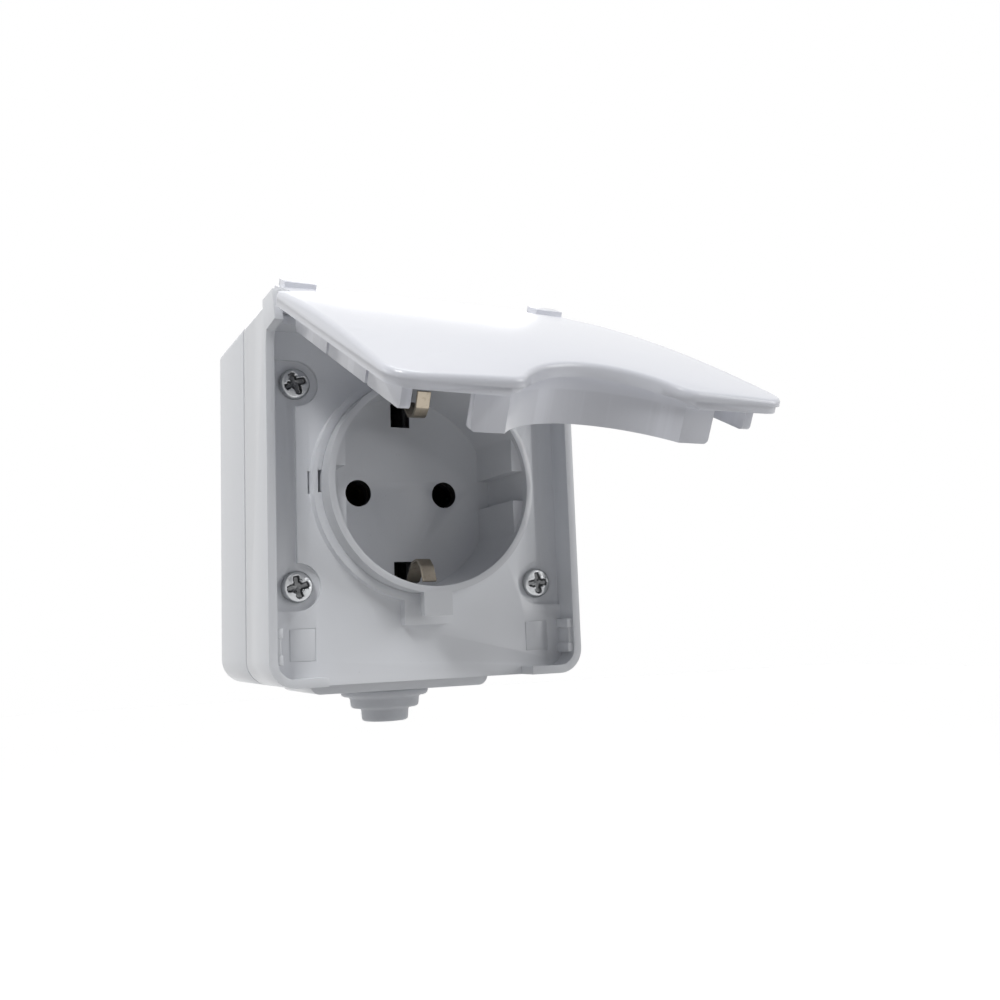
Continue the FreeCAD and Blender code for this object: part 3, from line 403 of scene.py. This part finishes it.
def rounded(node, name, material, width, segments=2, change=None):
    """A node's own shape with its sharp edges rounded, then changed by a function where one is given."""
    shape = bmesh.new()
    shape.from_mesh(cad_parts[node].data)
    bmesh.ops.remove_doubles(shape, verts=shape.verts, dist=0.001 * MM)
    bmesh.ops.dissolve_limit(shape, angle_limit=math.radians(0.6), verts=shape.verts, edges=shape.edges,
                             use_dissolve_boundaries=False, delimit=set())
    round_edges(shape, width, segments)
    if change:
        change(shape)
    body, slot = HOLDERS[node]
    finished(shape, name, material, body, node)


def lid_place(point):
    """A point of the open lid as (across, away from the hinge, above the edge's foot)."""
    from_base = point - LID_BASE
    return Vector((from_base.x, from_base.dot(LID_ALONG), from_base.dot(LID_OUT)))


def lid_outline(shape, height):
    """Places in plan of the lid's outer edge at a height, each with its outward direction."""
    outline = []
    for point in shape.verts:
        place = lid_place(point.co)
        in_bay = abs(place.x) < BAY_HALF and place.y > BAY_NEAR
        outermost = abs(place.x) > LID_SIDE or place.y > LID_FAR or in_bay
        if abs(place.z - height) > 0.001 * MM or place.y < STEP_START or not outermost:
            continue
        outwards = Vector((0.0, 0.0, 0.0))
        for face in point.link_faces:
            if abs(face.normal.dot(LID_OUT)) < 0.2:
                outwards += Vector((face.normal.x, face.normal.dot(LID_ALONG), 0.0))
        if outwards.length > 0.1:
            outline.append((Vector((place.x, place.y, 0.0)), outwards.normalized()))
    return outline


def step_edge(shape):
    """Sets the foot of the lid's edge back, so that the edge above it reads as a lip."""
    below = STEP_HEIGHT - STEP_SLOPE
    for height in (STEP_HEIGHT, below):
        bmesh.ops.bisect_plane(shape, geom=shape.verts[:] + shape.edges[:] + shape.faces[:], dist=1e-7,
                               plane_co=LID_BASE + LID_OUT * height, plane_no=LID_OUT)
    shape.normal_update()
    outline = lid_outline(shape, below)
    near = KDTree(len(outline))
    for index, (spot, outwards) in enumerate(outline):
        near.insert(spot, index)
    near.balance()
    for point in shape.verts:
        place = lid_place(point.co)
        if -STEP_REACH < place.z < below + STEP_SLOPE / 2 and place.y > STEP_START:
            spot, index, distance = near.find((place.x, place.y, 0.0))
            if distance < STEP_REACH:
                shift = -STEP_WIDTH * smooth_step((place.y - STEP_START) / STEP_FADE) * outline[index][1]
                point.co += Vector((shift.x, 0.0, 0.0)) + LID_ALONG * shift.y


def turned_shape(profile, middle, axis, steps):
    """Closed shape of revolution from (radius, place along the axis) points."""
    across = Vector((1.0, 0.0, 0.0))
    shape = bmesh.new()
    line = [shape.verts.new(middle + across * radius + Vector(axis) * along) for radius, along in profile]
    edges = [shape.edges.new(pair) for pair in zip(line, line[1:])]
    bmesh.ops.spin(shape, geom=line + edges, cent=middle, axis=axis, angle=math.tau, steps=steps,
                   use_merge=True)
    bmesh.ops.remove_doubles(shape, verts=shape.verts, dist=1e-7)
    bmesh.ops.recalc_face_normals(shape, faces=shape.faces)
    return shape


def membrane_gland(name, material):
    """Closed cable gland: inner flange, neck in the hole and three soft steps below the pad."""
    low, high = (Vector(corner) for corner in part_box("cable_grommet"))
    middle = Vector(((low.x + high.x) / 2, (low.y + high.y) / 2, 0.0))
    shoulder = high.z - GLAND_FLANGE_HEIGHT
    profile = [(radius * MM, low.z + height * MM) for radius, height in GLAND_STEPS]
    profile += [(GLAND_NECK, shoulder), (GLAND_FLANGE, shoulder)]
    profile += [(GLAND_FLANGE, high.z), (GLAND_BORE, high.z)]
    profile += [(radius * MM, low.z + height * MM) for radius, height in GLAND_INSIDE]
    shape = turned_shape(profile, middle, (0.0, 0.0, 1.0), 72)
    round_edges(shape, 0.62 * MM, 4)
    finished(shape, name, material, "housing", "cable_grommet", 50.0)


def catch_rail(name, material, side):
    """Rail on a side wall's inner face, with the two nubs that the lid's skirt snaps over."""
    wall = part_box("front_cover")[1][0] / MM - WALL_THICKNESS
    shape = bmesh.new()
    for reach, front, high, low in RAIL_BLOCKS:
        middle = Vector((side * (wall - (reach - RAIL_ROOT) / 2), -(front + RAIL_BACK) / 2, (high + low) / 2))
        span = Vector((reach + RAIL_ROOT, front - RAIL_BACK, high - low))
        place = Matrix.Translation(middle * MM) @ Matrix.Diagonal((span * MM).to_4d())
        bmesh.ops.create_cube(shape, size=1.0, matrix=place)
    round_edges(shape, 0.15 * MM)
    finished(shape, name, material, "housing")


def screw_profile(head_radius, front, tip):
    """Half outline of a cover screw from its tip to the middle of its head."""
    under = front + 1.6 * MM
    shank = 1.5 * MM
    thread_start = tip - 2.0 * MM
    turns = 16
    pitch = (thread_start - under - 0.8 * MM) / turns
    profile = [(0.0, tip), (0.35 * shank, tip - 0.3 * MM), (0.75 * shank, tip - 1.6 * MM)]
    for index in range(turns):
        profile.append((shank, thread_start - (index + 0.15) * pitch))
        profile.append((0.78 * shank, thread_start - (index + 0.75) * pitch))
    profile += [(0.85 * shank, under), (0.94 * head_radius, under), (head_radius, under - 0.12 * MM),
                (head_radius, under - 0.55 * MM), (0.975 * head_radius, under - 0.85 * MM),
                (0.92 * head_radius, under - 1.10 * MM)]
    rings = 26
    dome = 0.86 * head_radius
    for index in range(rings):
        reach = dome * (1.0 - index / rings)
        profile.append((reach, front + 0.34 * MM * (reach / dome) ** 2))
    return profile + [(0.0, front)]


def cross_screw(node, name, material, turn):
    """Pan-head screw: threaded shank and a domed head with a deep, worn cross."""
    low, high = (Vector(corner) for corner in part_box(node))
    head_radius = (high.x - low.x) / 2
    middle = Vector(((low.x + high.x) / 2, 0.0, (low.z + high.z) / 2))
    shape = turned_shape(screw_profile(head_radius, low.y, high.y), middle, (0.0, 1.0, 0.0), 96)
    shading = shape.verts.layers.float.new(CROSS_SHADE)
    for point in shape.verts:
        if point.co.y < low.y + 0.6 * MM:
            sunk = cross_depth(point.co.x - middle.x, point.co.z - middle.z, turn, head_radius)
            point.co.y += sunk
            point[shading] = min(1.0, sunk / (0.45 * MM))
    finished(shape, name, material, "housing", node, 50.0)


def cross_depth(across, up, turn, radius):
    """How deep the chewed cross is at a point of a screw's head."""
    angle = math.radians(turn)
    first = abs(across * math.cos(angle) + up * math.sin(angle)) / radius
    second = abs(up * math.cos(angle) - across * math.sin(angle)) / radius
    reach = math.hypot(first, second)
    if reach < 1e-6:
        return CROSS_DEPTH
    chewed = noise.noise(Vector((across / MM * 1.9, up / MM * 1.9, turn)))
    off_arm = first * second / reach + 0.09 * chewed
    wall = smooth_step((0.235 - off_arm) / 0.13) * smooth_step((0.76 - reach + 0.06 * chewed) / 0.12)
    burr = 0.05 * MM * chewed * smooth_step((0.42 - off_arm) / 0.12) * smooth_step((0.86 - reach) / 0.1)
    return CROSS_DEPTH * wall * (1.0 - 0.55 * reach) + burr


def smooth_step(value):
    clipped = min(1.0, max(0.0, value))
    return clipped * clipped * (3.0 - 2.0 * clipped)


def paint_node(node, material):
    """Gives a CAD node its material."""
    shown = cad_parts[node]
    shown.data.materials.clear()
    shown.data.materials.append(material)


class SOCKET_OT_housing(bpy.types.Operator):
    """Dresses the box, its cover and the seam's gasket"""
    bl_idname = "socket.housing"
    bl_label = "Housing"

    def execute(self, context):
        plastics = context.scene.socket_plastics
        shell = moulded_plastic("housing_plastic", plastics.housing, plastics.roughness)
        rounded("front_cover", "cover_moulding", shell, plastics.edge)
        rounded("back_box", "box_moulding", shell, plastics.edge)
        catch_rail("catch_rail_left", shell, -1)
        catch_rail("catch_rail_right", shell, 1)
        paint_node("box_gasket", soft_rubber("gasket_rubber", plastics.rubber, 0.6))
        return {"FINISHED"}


class SOCKET_OT_lid(bpy.types.Operator):
    """Dresses the lid and its seal"""
    bl_idname = "socket.lid"
    bl_label = "Lid"

    def execute(self, context):
        plastics = context.scene.socket_plastics
        glossy = moulded_plastic("lid_plastic", plastics.lid, plastics.roughness - 0.04, 0.35, streaked=True)
        rounded("lid", "lid_moulding", glossy, plastics.edge, change=step_edge)
        paint_node("lid_seal", soft_rubber("lid_seal_rubber", plastics.rubber, 0.62))
        return {"FINISHED"}


class SOCKET_OT_well(bpy.types.Operator):
    """Dresses the round well and the moulding behind it"""
    bl_idname = "socket.well"
    bl_label = "Well"

    def execute(self, context):
        plastics = context.scene.socket_plastics
        satin = moulded_plastic("well_plastic", plastics.well, plastics.roughness, shaded_bores=True)
        rounded("socket_cup", "well_moulding", satin, plastics.edge)
        paint_node("insert_base", moulded_plastic("insert_plastic", plastics.insert, 0.5, 0.0))
        return {"FINISHED"}


class SOCKET_OT_metal(bpy.types.Operator):
    """Dresses the earth strip, contacts, screws and hinge pins"""
    bl_idname = "socket.metal"
    bl_label = "Metal"

    def execute(self, context):
        metals = context.scene.socket_metals
        drawn_up, drawn_across, even = (1.0, 1.0, 14.0), (14.0, 1.0, 1.0), (1.0, 1.0, 1.0)
        strip = drawn_metal("earth_strip_metal", metals.clip, metals.roughness, drawn_across, STRIP_PAINTED_SHADE)
        rounded("earth_strap", "earth_strip", strip, 0.1 * MM, 1)
        contact = drawn_metal("contact_brass", metals.contact, metals.roughness, drawn_up, CONTACT_PAINTED_SHADE)
        for node in ("contact_left", "contact_right"):
            paint_node(node, contact)
        steel = drawn_metal("screw_steel", metals.screw, metals.roughness, even)
        headed = drawn_metal("cross_screw_steel", metals.screw, metals.roughness, even, worn_and_shaded_cross=True)
        for node in sorted(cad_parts):
            if node in SCREW_TURNS:
                cross_screw(node, node + "_turned", headed, SCREW_TURNS[node])
            elif "screw" in node or "hinge_pin" in node:
                paint_node(node, steel)
        return {"FINISHED"}


class SOCKET_OT_gland(bpy.types.Operator):
    """Dresses the cable gland"""
    bl_idname = "socket.gland"
    bl_label = "Gland"

    def execute(self, context):
        plastics = context.scene.socket_plastics
        membrane_gland("gland_membrane", soft_rubber("gland_rubber", plastics.gland, 0.5))
        return {"FINISHED"}


# Stage

def photo_camera(lens):
    """Camera that stands and looks as the photograph's did."""
    data = bpy.data.cameras.new("photo_camera")
    data.lens = lens
    data.sensor_width = SENSOR_WIDTH
    data.clip_start = 0.005
    camera = bpy.data.objects.new("photo_camera", data)
    axes = Matrix((CAMERA_RIGHT, CAMERA_UP, [-value for value in CAMERA_AHEAD])).transposed()
    camera.rotation_euler = axes.to_euler()
    camera.location = CAMERA_SPOT
    bpy.context.scene.collection.objects.link(camera)
    bpy.context.scene.camera = camera


def pale_floor(drop, glow):
    """Floor that takes the socket's shadow and shows the camera and mirrors near white."""
    mesh = bpy.data.meshes.new("floor")
    sheet = bmesh.new()
    bmesh.ops.create_grid(sheet, x_segments=2, y_segments=2, size=FLOOR_HALF)
    bmesh.ops.translate(sheet, verts=sheet.verts, vec=(0.0, 0.0, -drop))
    sheet.to_mesh(mesh)
    sheet.free()
    paint = fresh_paint("floor_paint")
    mottle = paint.noise(6.0, 3.0)
    seen = paint.ray("Is Camera Ray") + paint.ray("Is Glossy Ray")
    mesh.materials.append(paint.surface(
        Base_Color=paint.mix(mottle, (0.56, 0.56, 0.56), (0.60, 0.60, 0.60)), Roughness=0.7,
        Emission_Color=paint.mix(seen, BLACK, WHITE), Emission_Strength=glow))
    floor = bpy.data.objects.new("floor", mesh)
    bpy.context.scene.collection.objects.link(floor)


def white_room(ambient):
    """Surroundings that the camera and mirrors see as white, and that light the socket only a little."""
    room = Paint(bpy.data.worlds.new("white_room"))
    seen = room.maths("MAXIMUM", room.ray("Is Camera Ray"), room.ray("Is Glossy Ray"))
    strength = ambient + seen * (1.0 - ambient)
    light = room.add("ShaderNodeBackground", {}, {"Color": with_alpha(WHITE), "Strength": strength})
    room.add("ShaderNodeOutputWorld", {}, {"Surface": light})
    bpy.context.scene.world = room.owner


def lamp(name, spot, size, power):
    """Square soft lamp aimed at the socket."""
    data = bpy.data.lights.new(name, "AREA")
    data.size = size
    data.energy = power
    lit = bpy.data.objects.new(name, data)
    lit.location = spot
    lit.rotation_euler = (Vector(LAMP_TARGET) - Vector(spot)).to_track_quat("-Z", "Y").to_euler()
    bpy.context.scene.collection.objects.link(lit)


class SOCKET_OT_stage(bpy.types.Operator):
    """Sets the pale floor, white surroundings, lamps and camera"""
    bl_idname = "socket.stage"
    bl_label = "Stage"

    def execute(self, context):
        studio = context.scene.socket_studio
        context.scene.view_settings.view_transform = "Standard"
        photo_camera(studio.lens)
        pale_floor(studio.drop, studio.glow)
        white_room(studio.ambient)
        for name, (spot, size) in LAMPS.items():
            lamp(name + "_lamp", spot, size, getattr(studio, name))
        return {"FINISHED"}


OPERATORS = (SOCKET_OT_housing, SOCKET_OT_lid, SOCKET_OT_well, SOCKET_OT_metal, SOCKET_OT_gland,
             SOCKET_OT_stage)


class VIEW3D_PT_socket(bpy.types.Panel):
    """Lists the pieces and their settings"""
    bl_label = "Weatherproof socket"
    bl_idname = "VIEW3D_PT_socket"
    bl_space_type = "VIEW_3D"
    bl_region_type = "UI"
    bl_category = "Socket"

    def draw(self, context):
        scene = context.scene
        for group in (scene.socket_plastics, scene.socket_metals, scene.socket_studio):
            for name in group.__annotations__:
                self.layout.prop(group, name)
        for operator in OPERATORS:
            self.layout.operator(operator.bl_idname)


CLASSES = (SocketPlastics, SocketMetals, SocketStudio) + OPERATORS + (VIEW3D_PT_socket,)


def register():
    for item in CLASSES:
        bpy.utils.register_class(item)
    bpy.types.Scene.socket_plastics = PointerProperty(type=SocketPlastics)
    bpy.types.Scene.socket_metals = PointerProperty(type=SocketMetals)
    bpy.types.Scene.socket_studio = PointerProperty(type=SocketStudio)


def unregister():
    del bpy.types.Scene.socket_studio
    del bpy.types.Scene.socket_metals
    del bpy.types.Scene.socket_plastics
    for item in reversed(CLASSES):
        bpy.utils.unregister_class(item)


def main():
    """Builds every piece and the stage in order."""
    register()
    bpy.ops.socket.housing()
    bpy.ops.socket.lid()
    bpy.ops.socket.well()
    bpy.ops.socket.metal()
    bpy.ops.socket.gland()
    bpy.ops.socket.stage()


if __name__ == "__main__":
    main()
